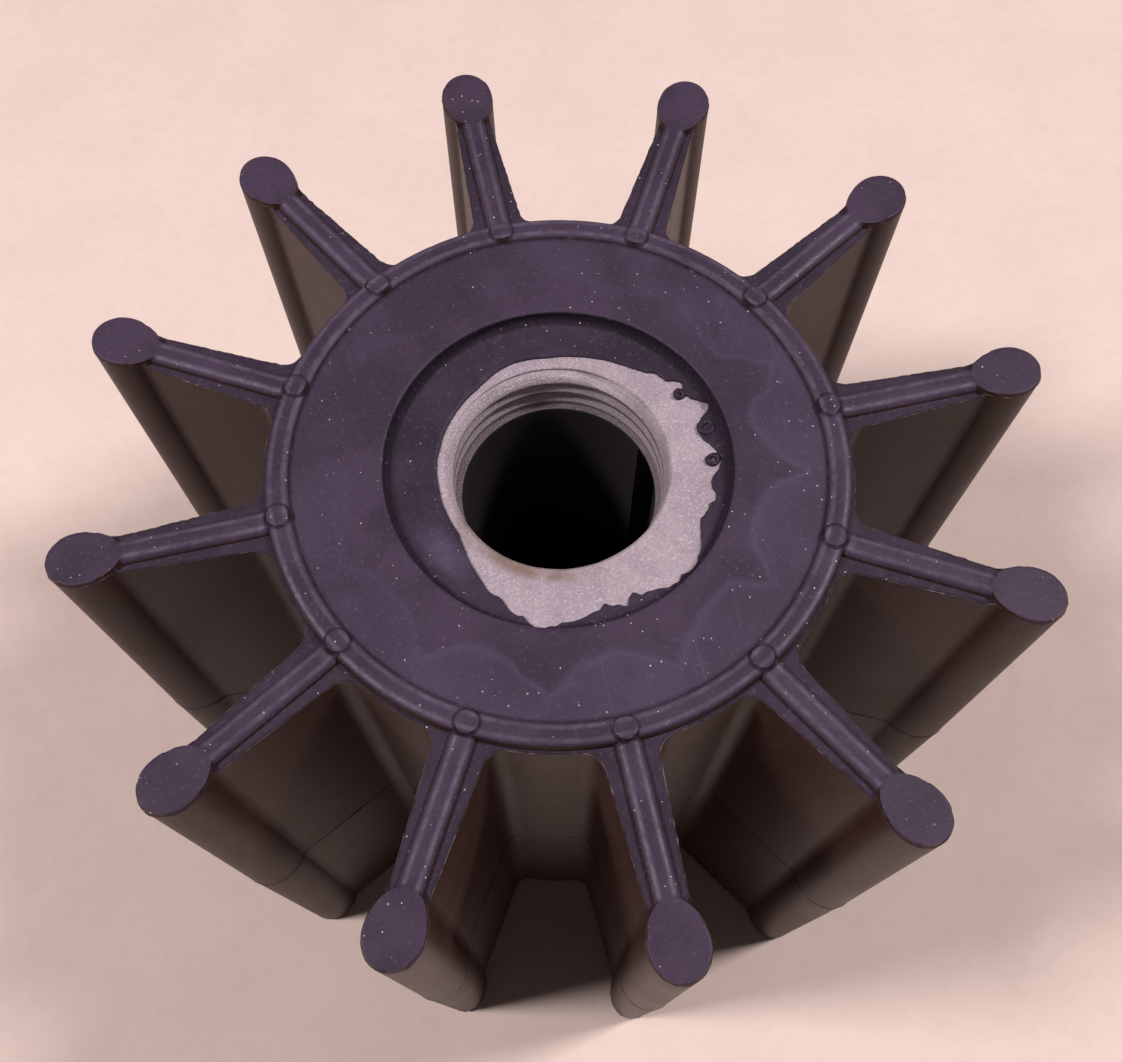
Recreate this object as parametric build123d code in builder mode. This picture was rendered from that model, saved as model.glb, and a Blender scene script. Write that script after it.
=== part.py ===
from build123d import *
import math
import os

# Rubber pump impeller: a rubber moulding bonded around a keyed metal hub insert.
# Frame: Z is the bore axis, Z = 0 is the plane that the lower nubs stand on, and one vane points along +X.
# Sizes are in millimetres and degrees.

# Vanes, widths and radii at the end faces
vane_count = 12
vane_height = 79.4            # bead face to bead face
tip_radius = 47.6
bead_length = 7.4             # along the radius
bead_width = 5.3              # across the vane
bead_heel_radius = 1.6        # narrow end of the egg-shaped bead, where the web runs in
bead_shoulder = 0.7           # from the egg's narrow end to the step up from the web flats
web_root_width = 5.1          # on the ring's centre line
web_tip_width = 3.2           # at the middle of the bead's wide end
root_fillet = 2.0
web_drop = 0.75               # the webs' end flats lie this far below the bead faces
draft_angle = 0.5             # on all walls; the moulding is widest at its mid-height parting plane
tip_draft_angle = 0.6         # on the beads' outer ends

# Ribs, ring and nubs on both end faces
rib_width = 2.5
rib_crest_width = 1.1
rib_height = 0.7              # above the web's end flat
ring_inset = 1.55             # from the hub's rim to the ring's centre line
ring_width = 2.4
ring_crest_width = 1.0
ring_rise = 0.5               # above the hub's end face
nub_diameter = 2.3
nub_rise = 0.7                # above the bead faces

# Hub
hub_radius = 27.65
step_offset = 0.12            # from the hub's rim to the step down to the web flats
recess_radius = 16.4
recess_depth = 1.4            # from the hub's end face to the rubber film or its lower counterpart

# Rubber film that covers part of the insert's upper face
film_thickness = 0.25
film_window_radius = 13.9
film_window_offset = 2.3
film_window_azimuth = -67

# Metal hub insert
insert_radius = 18
bore_radius = 9.525
bore_edge_chamfer = 0.6
countersink_radius = 11.3
thread_minor_radius = 10.15
thread_depth = 5.15           # from the insert's upper face to the ledge below the thread
keyway_width = 4.76
keyway_depth = 2.0            # beyond the bore's wall
keyway_azimuth = 6
keyway_land = 0.5             # plain bore left between the keyway's blind end and the ledge

# Heights above and below the parting plane
bead_level = vane_height / 2
nub_level = bead_level + nub_rise

# Heights above the floor
parting_plane = nub_level
upper_face = parting_plane + bead_level
web_flat = upper_face - web_drop
lower_face = parting_plane - bead_level
insert_top = upper_face - recess_depth - film_thickness
insert_bottom = lower_face + recess_depth
ledge_height = insert_top - thread_depth

# Radii that follow
ring_radius = hub_radius - ring_inset
step_radius = hub_radius + step_offset
bead_centre = tip_radius - bead_width / 2
heel_centre = tip_radius - bead_length + bead_heel_radius
shoulder_radius = tip_radius - bead_length + bead_shoulder

# Draft
draft_slope = math.tan(math.radians(draft_angle))
tip_slope = math.tan(math.radians(tip_draft_angle))


def bead_outline(depth):
    """Egg-shaped bead at a depth below the end face: round outer end, long flanks and narrow heel."""
    growth = depth * draft_slope
    tip = bead_width / 2 + growth
    tip_reach = tip_radius + depth * tip_slope
    heel = bead_heel_radius + growth
    length = bead_centre - heel_centre
    flank = (length**2 + tip**2 - heel**2) / (2 * (tip - heel))
    heel_turn = math.atan2(flank - tip, length)
    touch_x = heel_centre - heel * math.cos(heel_turn)
    touch_y = heel * math.sin(heel_turn)
    with BuildSketch() as outline:
        with BuildLine():
            ThreePointArc((bead_centre, -tip), (tip_reach, 0), (bead_centre, tip))
            RadiusArc((bead_centre, tip), (touch_x, touch_y), -flank)
            ThreePointArc((touch_x, touch_y), (heel_centre - heel, 0), (touch_x, -touch_y))
            RadiusArc((touch_x, -touch_y), (bead_centre, -tip), -flank)
        make_face()
    return outline.sketch


def star_outline(depth):
    """Hub, vane webs with root fillets, and beads, grown by the draft at a depth below the end face."""
    growth = depth * draft_slope
    root = web_root_width / 2 + growth
    tip = web_tip_width / 2 + growth
    web_corners = [(ring_radius, -root), (bead_centre, -tip), (bead_centre, tip), (ring_radius, root)]
    rim = hub_radius + growth
    with BuildSketch() as star:
        Circle(rim)
        with PolarLocations(0, vane_count):
            Polygon(*web_corners, align=None)
            add(bead_outline(depth))
        roots = star.vertices().filter_by(lambda corner: abs(math.hypot(corner.X, corner.Y) - rim) < 0.01)
        fillet(roots, root_fillet)
    return star.sketch


# ---------------------------------------------------------------- one rib, from ring to bead
with BuildPart() as rib:
    with BuildSketch(Plane.YZ.offset(ring_radius)):
        with Locations((0, web_flat)):
            Polygon(
                (-rib_width / 2, 0),
                (rib_width / 2, 0),
                (rib_crest_width / 2, rib_height),
                (-rib_crest_width / 2, rib_height),
                align=None,
            )
    extrude(amount=bead_centre - ring_radius)


# ---------------------------------------------------------------- upper half of the moulding, still solid
with BuildPart() as moulding_half:
    with BuildSketch(Plane.XY.offset(parting_plane)):
        add(star_outline(bead_level))
    with BuildSketch(Plane.XY.offset(upper_face)):
        add(star_outline(0))
    loft(ruled=True)

    # Step down from the beads and the hub face to the web flats
    with BuildSketch(Plane.XY.offset(web_flat)):
        Circle(shoulder_radius)
        Circle(step_radius, mode=Mode.SUBTRACT)
    extrude(amount=web_drop, mode=Mode.SUBTRACT)

    with PolarLocations(0, vane_count):
        add(rib.part)

    # Ring rib
    with BuildSketch(Plane.XZ):
        with Locations((ring_radius, upper_face)):
            Polygon(
                (-ring_width / 2, 0),
                (ring_width / 2, 0),
                (ring_crest_width / 2, ring_rise),
                (-ring_crest_width / 2, ring_rise),
                align=None,
            )
    revolve(axis=Axis.Z)

    # Nubs where the ribs meet the ring
    with BuildSketch(Plane.XY.offset(parting_plane)):
        with PolarLocations(ring_radius, vane_count):
            Circle(nub_diameter / 2)
    extrude(amount=nub_level)


# ---------------------------------------------------------------- the whole rubber body
with BuildPart() as rubber_body:
    add(moulding_half.part)
    mirror(about=Plane.XY.offset(parting_plane))

    with BuildSketch(Plane.XY):
        Circle(recess_radius)
    extrude(amount=2 * parting_plane, mode=Mode.SUBTRACT)

    with BuildSketch(Plane.XY.offset(insert_bottom)):
        Circle(insert_radius)
    extrude(amount=insert_top - insert_bottom, mode=Mode.SUBTRACT)

    # Film over the insert's upper face, open where the window leaves the metal bare
    with BuildSketch(Plane.XY.offset(insert_top)):
        Circle(recess_radius)
        with Locations(Rotation(0, 0, film_window_azimuth)):
            with Locations((film_window_offset, 0)):
                Circle(film_window_radius, mode=Mode.SUBTRACT)
    extrude(amount=film_thickness)
rubber_body.part.label = "rubber_body"


# ---------------------------------------------------------------- the metal hub insert
with BuildPart() as hub_insert:
    countersink_floor = insert_top - (countersink_radius - thread_minor_radius)
    with BuildSketch(Plane.XZ):
        Polygon(
            (bore_radius + bore_edge_chamfer, insert_bottom),
            (insert_radius, insert_bottom),
            (insert_radius, insert_top),
            (countersink_radius, insert_top),
            (thread_minor_radius, countersink_floor),
            (thread_minor_radius, ledge_height),
            (bore_radius, ledge_height),
            (bore_radius, insert_bottom + bore_edge_chamfer),
            align=None,
        )
    revolve(axis=Axis.Z)

    with BuildSketch(Plane.XY.offset(insert_bottom)):
        with Locations(Rotation(0, 0, keyway_azimuth)):
            Rectangle(bore_radius + keyway_depth, keyway_width, align=(Align.MIN, Align.CENTER))
    extrude(amount=ledge_height - keyway_land - insert_bottom, mode=Mode.SUBTRACT)
hub_insert.part.label = "hub_insert"


os.makedirs("parts", exist_ok=True)
for piece in (rubber_body, hub_insert):
    export_step(piece.part, f"parts/{piece.part.label}.step")
    box = piece.part.bounding_box()
    print(piece.part.label, piece.part.is_valid, len(piece.part.solids()), "solid",
          round(piece.part.volume / 1000, 2), "cm3", box.size)
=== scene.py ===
# %% [markdown]
# # A rubber pump impeller
# A flexible impeller for a boat engine's cooling pump. It is one rubber moulding with twelve vanes, bonded
# round a metal sleeve that slides on a keyed shaft. The measured CAD model gives the frame and every main
# size; this file adds what a caliper doesn't catch: rounded edges, mould flash, a cut thread, dust and the
# finishes.

# %% Load the measured model
import math

import bmesh
import bpy
import numpy as np
from mathutils import Matrix, Vector, geometry


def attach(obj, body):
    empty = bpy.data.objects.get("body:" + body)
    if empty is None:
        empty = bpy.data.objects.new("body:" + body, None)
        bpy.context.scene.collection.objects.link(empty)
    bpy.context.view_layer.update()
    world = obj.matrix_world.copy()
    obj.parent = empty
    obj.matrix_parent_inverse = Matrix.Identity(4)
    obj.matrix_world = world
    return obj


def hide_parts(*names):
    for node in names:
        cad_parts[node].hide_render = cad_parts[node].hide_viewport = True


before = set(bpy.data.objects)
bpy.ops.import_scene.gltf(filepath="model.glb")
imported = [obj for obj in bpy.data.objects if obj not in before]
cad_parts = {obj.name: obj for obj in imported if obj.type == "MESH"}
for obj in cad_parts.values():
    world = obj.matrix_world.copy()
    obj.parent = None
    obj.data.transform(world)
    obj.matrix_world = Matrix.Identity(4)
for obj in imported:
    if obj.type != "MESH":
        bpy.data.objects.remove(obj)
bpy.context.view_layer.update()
MM = 0.001

# %% [markdown]
# ## Small helpers
# Colours are written as sRGB hex, as a paint chart gives them, and one function turns them to the linear
# values that shaders need. One function adds a node with its settings and its links, for shaders and
# geometry alike, and the kinds of node that come back most often get a short name.

# %% Helpers for colours and nodes
MATH, VECTOR, NOISE = "ShaderNodeMath", "ShaderNodeVectorMath", "ShaderNodeTexNoise"
RANGE, BLEND, BUMP = "ShaderNodeMapRange", "ShaderNodeMix", "ShaderNodeBump"
SPLIT, COMBINE = "ShaderNodeSeparateXYZ", "ShaderNodeCombineXYZ"
SOFT = {"interpolation_type": "SMOOTHSTEP"}


def linear(code):
    """sRGB hex to linear RGBA."""
    channels = [int(code[i:i + 2], 16) / 255 for i in (1, 3, 5)]
    return tuple(c / 12.92 if c <= 0.04045 else ((c + 0.055) / 1.055) ** 2.4 for c in channels) + (1.0,)


def feed(tree, node, inputs):
    """Gives a node's sockets what they take: a value, a socket, or a node, of which the first output is used.
    inputs is a list in the order of the sockets, or maps a socket's name or number to what it takes."""
    for key, value in inputs.items() if isinstance(inputs, dict) else enumerate(inputs):
        if isinstance(value, bpy.types.Node):
            value = value.outputs[0]
        if isinstance(value, bpy.types.NodeSocket):
            tree.links.new(value, node.inputs[key])
        else:
            node.inputs[key].default_value = value


def add(tree, kind, inputs=(), **settings):
    """Adds a node with its settings and its links."""
    made = tree.nodes.new(kind)
    for name, value in settings.items():
        setattr(made, name, value)
    feed(tree, made, inputs)
    return made


print("mid grey in linear values:", round(linear("#808080")[0], 3))

# %% Helpers for meshes
MERGE_WITHIN, SLIVER = 0.002 * MM, 0.0001 * MM


def mesh_from(name, points_mm, faces):
    """A mesh from points in millimetres, with repeated points merged and smooth shading."""
    mesh = bpy.data.meshes.new(name)
    points = [tuple(p) for p in np.asarray(points_mm) * MM]
    mesh.from_pydata(points, [], [tuple(int(i) for i in face) for face in faces])
    return tidy(mesh)


def tidy(mesh):
    """Merges repeated points, drops faces without area and shades the mesh smooth."""
    work = bmesh.new()
    work.from_mesh(mesh)
    bmesh.ops.remove_doubles(work, verts=work.verts, dist=MERGE_WITHIN)
    bmesh.ops.dissolve_degenerate(work, edges=work.edges, dist=SLIVER)
    work.to_mesh(mesh)
    work.free()
    mesh.shade_smooth()
    return mesh


def joined(name, meshes):
    """Several meshes as one, with the points they share merged."""
    work = bmesh.new()
    for mesh in meshes:
        work.from_mesh(mesh)
    whole = bpy.data.meshes.new(name)
    work.to_mesh(whole)
    work.free()
    return tidy(whole)


def faced_outwards(mesh):
    """Turns the faces of a closed mesh outwards."""
    work = bmesh.new()
    work.from_mesh(mesh)
    bmesh.ops.recalc_face_normals(work, faces=work.faces)
    work.to_mesh(mesh)
    work.free()


def triangles_in(mesh):
    return sum(len(p.vertices) - 2 for p in mesh.polygons)


print("points within", MERGE_WITHIN / MM, "mm of each other are merged")

# %% [markdown]
# ## The camera
# The impeller is seen from above and a little from the front, close enough for the walls between the vanes
# to show. A camera's matrix is its right, up and backward directions with its place, so it can be written
# directly.

# %% Place the camera
CAMERA_PLACE = Vector((-10.99, -50.86, 181.7)) * MM
FOCAL_LENGTH, SENSOR_WIDTH, SHIFT_UP, ROLL = 39.10, 36.0, 0.0460, -0.0052
view_back = Vector((-0.0784, -0.3571, 0.9308)).normalized()
view_level = Vector((0.9767, -0.2147, 0.0)).normalized()
view_up = view_back.cross(view_level).normalized()
view_right = view_level * math.cos(ROLL) + view_up * math.sin(ROLL)
view_top = view_back.cross(view_right)
lens = bpy.data.cameras.new("studio_camera")
lens.sensor_fit = "HORIZONTAL"
lens.sensor_width = SENSOR_WIDTH
lens.lens = FOCAL_LENGTH
lens.shift_y = SHIFT_UP
lens.clip_start = 10 * MM
camera = bpy.data.objects.new("studio_camera", lens)
directions = Matrix((view_right, view_top, view_back)).transposed()
camera.matrix_world = Matrix.Translation(CAMERA_PLACE) @ directions.to_4x4()
bpy.context.scene.collection.objects.link(camera)
bpy.context.scene.camera = camera
print("camera stands", round(camera.location.z / MM), "mm above the floor")

# %% [markdown]
# ## Sizes of the moulding
# These are the sizes of the CAD model in millimetres, with the small radii that a mould's edges have.
# UPPER_FACE and the other levels are heights above the floor. The flats and rises of the end face are
# counted from the bead faces, and are negative below them.

# %% Sizes in millimetres
VANES = 12
UPPER_FACE, PARTING = 80.1, 40.4
LOWER_FACE = 2 * PARTING - UPPER_FACE
TIP_RADIUS, BEAD_WIDTH, BEAD_LENGTH, BEAD_EGG = 47.6, 5.3, 7.05, 0.10
BEAD_CENTRE = TIP_RADIUS - BEAD_LENGTH / 2
RING_RADIUS, RING_WIDTH, RING_RISE = 26.15, 2.3, 0.5
HUB_RADIUS, RECESS_RADIUS = 27.65, 16.4
WEB_ROOT, WEB_TIP, WEB_START, WEB_END, ROOT_FILLET = 5.1, 3.2, 26.1, 44.95, 2.0
WEB_FLAT, RIM_FLAT = -0.75, -0.6
RIB_WIDTH, RIB_HEIGHT = 2.5, 0.7
NUB_CENTRE, NUB_RADIUS, NUB_RISE = 26.25, 1.15, 0.7
EDGE_RADIUS, PARTING_BEAD = 0.15, 0.05
DRAFT = math.tan(math.radians(0.5))
HALF_SECTOR = math.pi / VANES
HALF_HEIGHT = UPPER_FACE - PARTING
INSERT_TOP, INSERT_BOTTOM, INSERT_RADIUS, LEDGE = 78.45, 2.1, 18.0, 73.3
print("height over the nubs:", round(UPPER_FACE + NUB_RISE, 1), "mm")

# %% [markdown]
# ## Rubber
# The moulding is nitrile rubber filled with carbon black, pressed in a mould of blasted steel. That gives
# the eye a matt charcoal, with a soft sheen where an edge is round. The level faces near the ends are painted
# violet, a painted reflection of cool light from above, and the walls are painted browner, a painted warm
# bounce from the paper. Object coordinates in millimetres let each region be found by its real size, and
# every pattern is given by its real width, by which the shader divides.

# %% Begin the rubber and find its regions
FACE_START, FACE_FULL = HALF_HEIGHT - 2.3, HALF_HEIGHT - 1.5


def new_material(name):
    """A material, its tree, its shader, and the place of a point on the piece in millimetres."""
    material = bpy.data.materials.new(name)
    material.use_nodes = True
    tree = material.node_tree
    place = add(tree, "ShaderNodeTexCoord")
    mm = add(tree, VECTOR, {0: place.outputs["Object"], 3: 1 / MM}, operation="SCALE")
    return material, tree, tree.nodes["Principled BSDF"], mm


rubber, tree, shader, mm = new_material("moulded_nitrile_rubber")
x, y, z = add(tree, SPLIT, [mm]).outputs
radius = add(tree, VECTOR, [add(tree, COMBINE, [x, y])], operation="LENGTH").outputs["Value"]
azimuth = add(tree, MATH, [y, x], operation="ARCTAN2")
above_parting = add(tree, MATH, [z, PARTING], operation="SUBTRACT")
from_parting = add(tree, MATH, [above_parting], operation="ABSOLUTE")
near_end = add(tree, RANGE, [from_parting, FACE_START, FACE_FULL], **SOFT)
normal = add(tree, SPLIT, [add(tree, "ShaderNodeTexCoord").outputs["Normal"]])
levelness = add(tree, MATH, [normal.outputs["Z"]], operation="ABSOLUTE")
level = add(tree, RANGE, [levelness, 0.3, 0.8], **SOFT)
within_hub = add(tree, RANGE, [radius, 25.0, 24.0], **SOFT)
end_side = add(tree, MATH, [level, within_hub], operation="MAXIMUM")
on_face = add(tree, MATH, [near_end, end_side], operation="MULTIPLY")
print("the end faces' colour starts", round(FACE_START, 1), "mm from the parting plane")

# %% [markdown]
# The colour is built like paint: a base, and then layers, each with a mask that says where it lies and the
# greatest strength it has there. The base is clouded, because a pressed sheet of rubber is never quite
# even.

# %% The base colours
CLOUD_WIDTH = 8.33


def layered(tree, colour, layers):
    """Lays colours over a base, each with its mask and its greatest strength."""
    for mask, strength, code in layers:
        amount = add(tree, MATH, [mask, strength], operation="MULTIPLY")
        mixed = add(tree, BLEND, {0: amount, 6: colour, 7: linear(code)}, data_type="RGBA")
        colour = mixed.outputs[2]
    return colour


cloud = add(tree, NOISE, {"Vector": mm, "Scale": 1 / CLOUD_WIDTH, "Detail": 4.0, "Roughness": 0.6})
face_cloud = add(tree, RANGE, [cloud, 0.35, 0.65], **SOFT)
wall_cloud = add(tree, RANGE, [cloud, 0.3, 0.7], **SOFT)
# Painted light: level end faces get a cool violet for the light they reflect from above, and walls a warm brown
# for the bounce from the paper.
cool_lit_face_colour = layered(tree, linear("#342939"), [(face_cloud, 1.0, "#403346")])
warm_bounce_wall_colour = layered(tree, linear("#34211c"), [(wall_cloud, 1.0, "#3d2922")])
base_colour = add(tree, BLEND, {0: on_face, 6: warm_bounce_wall_colour, 7: cool_lit_face_colour}, data_type="RGBA").outputs[2]
print("clouds in the rubber are", CLOUD_WIDTH, "mm wide")

# %% [markdown]
# ## Flow fronts
# The rubber ran inwards from the vanes when it was pressed, and where the streams met it left pale
# scalloped lines on the hub's end face, one lobe for each vane. The distance from a wavy circle gives both
# the line and the slightly paler zone behind it. They show best on one side, where the bloom of wax is
# heavier.

# %% The flow fronts on the hub's end face
FRONT_RADIUS, LOBE_DEPTH, FRONT_WANDER, WANDER_WIDTH = 19.3, 3.4, 4.0, 4.55
turns = add(tree, MATH, [azimuth, VANES / (2 * math.pi), 0.5], operation="MULTIPLY_ADD")
share = add(tree, MATH, [turns], operation="FRACT")
off_vane = add(tree, MATH, [share, 2.0, -1.0], operation="MULTIPLY_ADD")
from_vane = add(tree, MATH, [off_vane], operation="ABSOLUTE")
lobe = add(tree, MATH, [from_vane, 2.0], operation="POWER")
even_front = add(tree, MATH, [lobe, LOBE_DEPTH, FRONT_RADIUS], operation="MULTIPLY_ADD")
wander = add(tree, NOISE, {"Vector": mm, "Scale": 1 / WANDER_WIDTH, "Detail": 1.5})
drift = add(tree, MATH, [wander, 0.5], operation="SUBTRACT")
front = add(tree, MATH, [drift, FRONT_WANDER, even_front], operation="MULTIPLY_ADD")
past_front = add(tree, MATH, [radius, front], operation="SUBTRACT")
from_front = add(tree, MATH, [past_front], operation="ABSOLUTE")
zone = add(tree, RANGE, [past_front, -0.5, 0.5], **SOFT)
ridge = add(tree, MATH, [from_front, -1.3, 1.0], operation="MULTIPLY_ADD", use_clamp=True)
within_ring = add(tree, RANGE, [radius, 25.2, 24.6], **SOFT)
inside_ring = add(tree, MATH, [within_ring, on_face], operation="MULTIPLY")
waxy_way = add(tree, VECTOR, [mm, (0.5, -0.85, 0.0)], operation="DOT_PRODUCT").outputs["Value"]
waxy_side = add(tree, RANGE, [waxy_way, -12.0, 12.0, 0.2, 1.0], **SOFT)
pale_zone = add(tree, MATH, [zone, 0.11], operation="MULTIPLY")
bloom = add(tree, MATH, [ridge, 0.15, pale_zone], operation="MULTIPLY_ADD")
for mask in (inside_ring, waxy_side):
    bloom = add(tree, MATH, [bloom, mask], operation="MULTIPLY")
print("lobes of flow:", VANES)

# %% [markdown]
# ## Painted highlights and painted shade on the rubber
# The shoulders of the ring and the ribs get a painted highlight, paler lines where they catch the light,
# and they are made a little shinier. Painted shade darkens where light doesn't reach: round the feet of the
# nubs and the ring, beside the ribs and in the recess's corner.

# %% Painted highlights on the shoulders and painted shade in the corners
SHOULDER, RUB_WIDTH = 0.62, 1.43


def band(tree, offset, middle, wide, narrow, strength=1.0):
    """A soft band round a middle: full strength within narrow of it, and nothing beyond wide."""
    beyond = add(tree, MATH, [offset, middle], operation="SUBTRACT")
    away = add(tree, MATH, [beyond], operation="ABSOLUTE")
    return add(tree, RANGE, [away, wide, narrow, 0.0, strength], **SOFT)


swing = add(tree, MATH, [share, 0.5], operation="SUBTRACT")
angle = add(tree, MATH, [swing, 2 * HALF_SECTOR], operation="MULTIPLY")
along_vane = add(tree, MATH, [radius, add(tree, MATH, [angle], operation="COSINE")], operation="MULTIPLY")
across_vane = add(tree, MATH, [radius, add(tree, MATH, [angle], operation="SINE")], operation="MULTIPLY")
off_rib = add(tree, MATH, [across_vane], operation="ABSOLUTE")
beyond_ring = add(tree, MATH, [radius, RING_RADIUS], operation="SUBTRACT")
off_ring = add(tree, MATH, [beyond_ring], operation="ABSOLUTE")
rubbed = add(tree, NOISE, {"Vector": mm, "Scale": 1 / RUB_WIDTH, "Detail": 4.0, "Roughness": 0.7})
# The shoulder lines are a painted highlight.
painted_highlight = band(tree, off_rib, SHOULDER, 0.34, 0.05)
for start, full in ((27.4, 27.7), (41.0, 40.4)):
    on_rib = add(tree, RANGE, [radius, start, full], **SOFT)
    painted_highlight = add(tree, MATH, [painted_highlight, on_rib], operation="MULTIPLY")
painted_highlight = add(tree, MATH, [band(tree, off_ring, SHOULDER, 0.34, 0.05), painted_highlight], operation="MAXIMUM")
for mask in (on_face, add(tree, RANGE, [rubbed, 0.3, 0.75, 0.2, 1.0], **SOFT)):
    painted_highlight = add(tree, MATH, [painted_highlight, mask], operation="MULTIPLY")

in_corner = 1.0
for start, full in ((RECESS_RADIUS - 1.1, RECESS_RADIUS - 0.5), (RECESS_RADIUS + 0.1, RECESS_RADIUS - 0.02)):
    near_wall = add(tree, RANGE, [radius, start, full], **SOFT)
    in_corner = add(tree, MATH, [in_corner, near_wall], operation="MULTIPLY")
beyond_nub = add(tree, MATH, [along_vane, NUB_CENTRE], operation="SUBTRACT")
to_nub = add(tree, COMBINE, [beyond_nub, across_vane])
off_nub = add(tree, VECTOR, [to_nub], operation="LENGTH").outputs["Value"]
nub_foot = band(tree, off_nub, NUB_RADIUS + 0.02, 0.24, 0.08)
ring_foot = band(tree, off_ring, RING_WIDTH / 2 + 0.05, 0.3, 0.05, 0.6)
low_ground = add(tree, RANGE, [z, UPPER_FACE - 0.35, UPPER_FACE - 0.65, 0.0, 0.6], **SOFT)
beside_rib = add(tree, MATH, [low_ground, on_face], operation="MULTIPLY")
uneven = add(tree, RANGE, [rubbed, 0.3, 0.6, 0.55, 1.0], **SOFT)
# Painted shade: dark in the corners and round the feet, where light doesn't reach.
painted_shade = nub_foot
for mask, way in ((ring_foot, "MAXIMUM"), (beside_rib, "MAXIMUM"), (uneven, "MULTIPLY"), (in_corner, "MAXIMUM"),
                  (near_end, "MULTIPLY")):
    painted_shade = add(tree, MATH, [painted_shade, mask], operation=way)
print("worn lines lie", SHOULDER, "mm from the middle of ring and ribs")

# %% [markdown]
# ## Small marks on the rubber
# A hazy patch lies on the film, faint scratches run over the waxy side of the hub, and the rubber is
# sprinkled with pale specks. The mould's parting plane left a thin dark line round the middle, which wavers
# a little because the two plates never close quite flat.

# %% Haze, scratches, specks and the parting line
# The filler's grains are some hundredths of a millimetre, too fine to show, so the specks are drawn coarser.
SPECK_WIDTH, GRIT_SPACING = 0.385, 1.11
SCRATCH_WIDTH, SCRATCH_LENGTH = 0.417, 14.3
HAZE_AZIMUTH = math.radians(-153)
haze = band(tree, azimuth, HAZE_AZIMUTH, 0.34, 0.0)
for measure in ([rubbed, 0.3, 0.7, 0.4, 1.0], [radius, 15.3, 14.2], [radius, 11.6, 13.0]):
    mask = add(tree, RANGE, measure, **SOFT)
    haze = add(tree, MATH, [haze, mask], operation="MULTIPLY")
stretched = add(tree, "ShaderNodeMapping", {
    "Vector": mm, "Rotation": (0, 0, 0.16), "Scale": (1 / SCRATCH_WIDTH, 1 / SCRATCH_LENGTH, 1.0)})
streaks = add(tree, NOISE, {"Vector": stretched, "Scale": 1.0, "Detail": 2.0})
scratches = add(tree, RANGE, [streaks, 0.62, 0.76], **SOFT)
for mask in (zone, waxy_side, inside_ring):
    scratches = add(tree, MATH, [scratches, mask], operation="MULTIPLY")
speckle = add(tree, NOISE, {"Vector": mm, "Scale": 1 / SPECK_WIDTH, "Detail": 3.0})
pale_specks = add(tree, RANGE, [speckle, 0.55, 0.8], **SOFT)
cells = add(tree, "ShaderNodeTexVoronoi", {"Vector": mm, "Scale": 1 / GRIT_SPACING})
chance = add(tree, "ShaderNodeSeparateColor", [cells.outputs["Color"]])
grit = add(tree, MATH, [on_face, 0.5, 0.15], operation="MULTIPLY_ADD")
for measure in ([cells, 0.12, 0.04], [chance, 0.72, 0.95]):
    mask = add(tree, RANGE, measure, **SOFT)
    grit = add(tree, MATH, [grit, mask], operation="MULTIPLY")
wavy_height = add(tree, MATH, [drift, 1.8, above_parting], operation="MULTIPLY_ADD")
parting_line = band(tree, wavy_height, 0.0, 0.7, 0.25)
for measure in ([speckle, 0.25, 0.45], [rubbed, 0.32, 0.55, 0.4, 1.0]):
    mask = add(tree, RANGE, measure, **SOFT)
    parting_line = add(tree, MATH, [parting_line, mask], operation="MULTIPLY")
print("pale specks are", SPECK_WIDTH, "mm wide")

# %% [markdown]
# The layers go on in this order: bloom, painted highlight, painted shade, haze, scratches, specks and the
# parting line. The film was pressed against polished metal, so it shines a little more, and the painted
# shade is duller. The bumps are a few hundredths of a millimetre high, as a blasted mould leaves them.

# %% Lay the colours, the gloss and the bumps
# A blasted mould's grain is about 0.05 mm, too fine to show, so it is drawn three times as coarse.
GRAIN_WIDTH, WAVE_WIDTH = 0.167, 2.0
# The shoulder lines lay a painted highlight, and the corners a painted shade.
colour = layered(tree, base_colour, [
    (bloom, 1.0, "#625d78"), (painted_highlight, 0.38, "#7c7286"), (painted_shade, 0.75, "#17101a"), (haze, 0.36, "#6f6a88"),
    (scratches, 0.16, "#75687a"), (pale_specks, 0.34, "#6a5f6c"), (grit, 1.0, "#b8aeb4"),
    (parting_line, 1.0, "#0d090b")])
on_film = add(tree, RANGE, [radius, 16.0, 15.6], **SOFT)
on_film = add(tree, MATH, [on_film, on_face], operation="MULTIPLY")
gloss = add(tree, RANGE, [cloud, 0.3, 0.7, 0.42, 0.48], **SOFT)
for mask, change in ((on_face, 0.04), (painted_shade, 0.3), (painted_highlight, -0.12), (on_film, -0.12)):
    gloss = add(tree, MATH, [mask, change, gloss], operation="MULTIPLY_ADD")
grain = add(tree, NOISE, {"Vector": mm, "Scale": 1 / GRAIN_WIDTH, "Detail": 2.0})
waves = add(tree, NOISE, {"Vector": mm, "Scale": 1 / WAVE_WIDTH, "Detail": 2.0})
speck_height = add(tree, MATH, [painted_highlight, 0.035, 0.01], operation="MULTIPLY_ADD")
ridge_height = add(tree, MATH, [inside_ring, 0.006], operation="MULTIPLY")
bumps = 0.0
for pattern, height in ((waves, 0.02), (grain, 0.012), (speckle, speck_height), (ridge, ridge_height)):
    bumps = add(tree, MATH, [pattern, height, bumps], operation="MULTIPLY_ADD")
bumpy = add(tree, BUMP, {"Height": bumps, "Distance": MM, "Strength": 1.0})
feed(tree, shader, {"Base Color": colour, "Roughness": gloss, "IOR": 1.52, "Specular IOR Level": 0.15,
                    "Normal": bumpy})
print("rubber made, with", len(tree.nodes), "nodes")

# %% [markdown]
# ## Flash
# Flash is rubber that squeezed between the plates of the mould and was torn off. Its pale patches are a
# painted highlight, for the light that its ragged edges catch, a little paler and warmer than the body, on a
# dull surface.

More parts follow.
